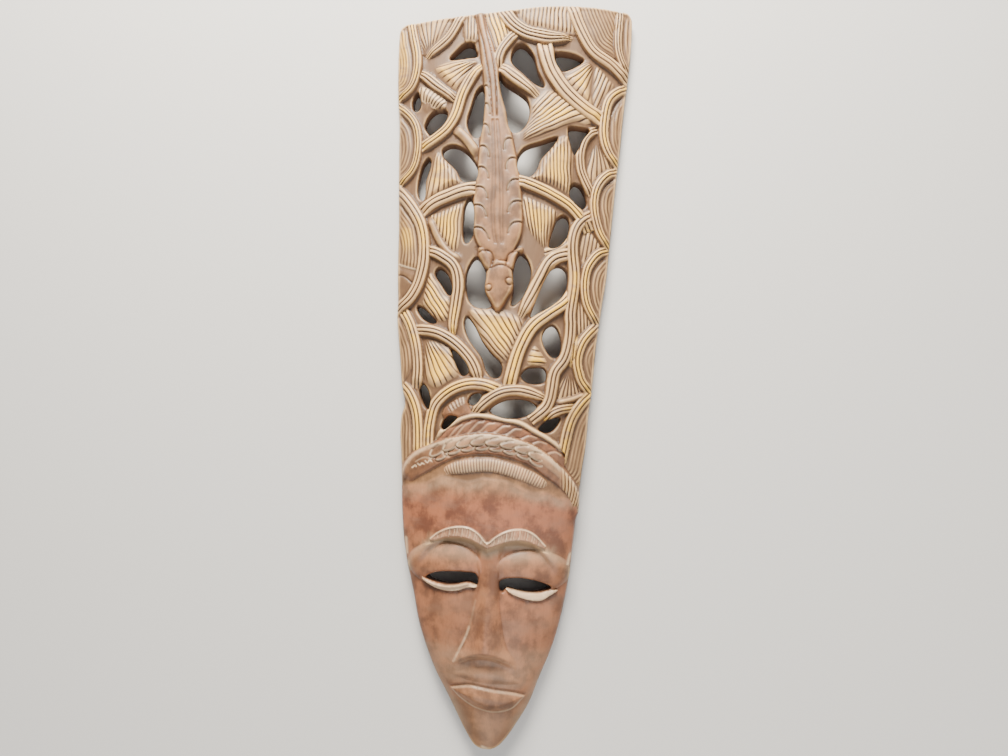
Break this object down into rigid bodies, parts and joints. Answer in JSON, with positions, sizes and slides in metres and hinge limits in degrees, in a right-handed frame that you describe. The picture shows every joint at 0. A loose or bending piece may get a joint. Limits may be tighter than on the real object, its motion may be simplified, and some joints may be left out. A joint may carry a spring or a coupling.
{
  "type": "carved wooden wall mask",
  "caption": "Tall carved wooden mask: narrow pointed face, scaled headband and a high crest pierced between strands and leaves, with a lizard hanging head down.",
  "frame": {"origin": "centre of the bounding box at the plane of the flat back rim", "axes": "+X to the right as the face is seen, +Y from chin to crest, +Z out of the face"},
  "size_m": [0.303, 0.9094, 0.0567],
  "materials": {
    "stained_wood": "rubbed satin stain"
  },
  "bodies": {
    "root": {"mask": "stained_wood"}
  },
  "joints": []
}
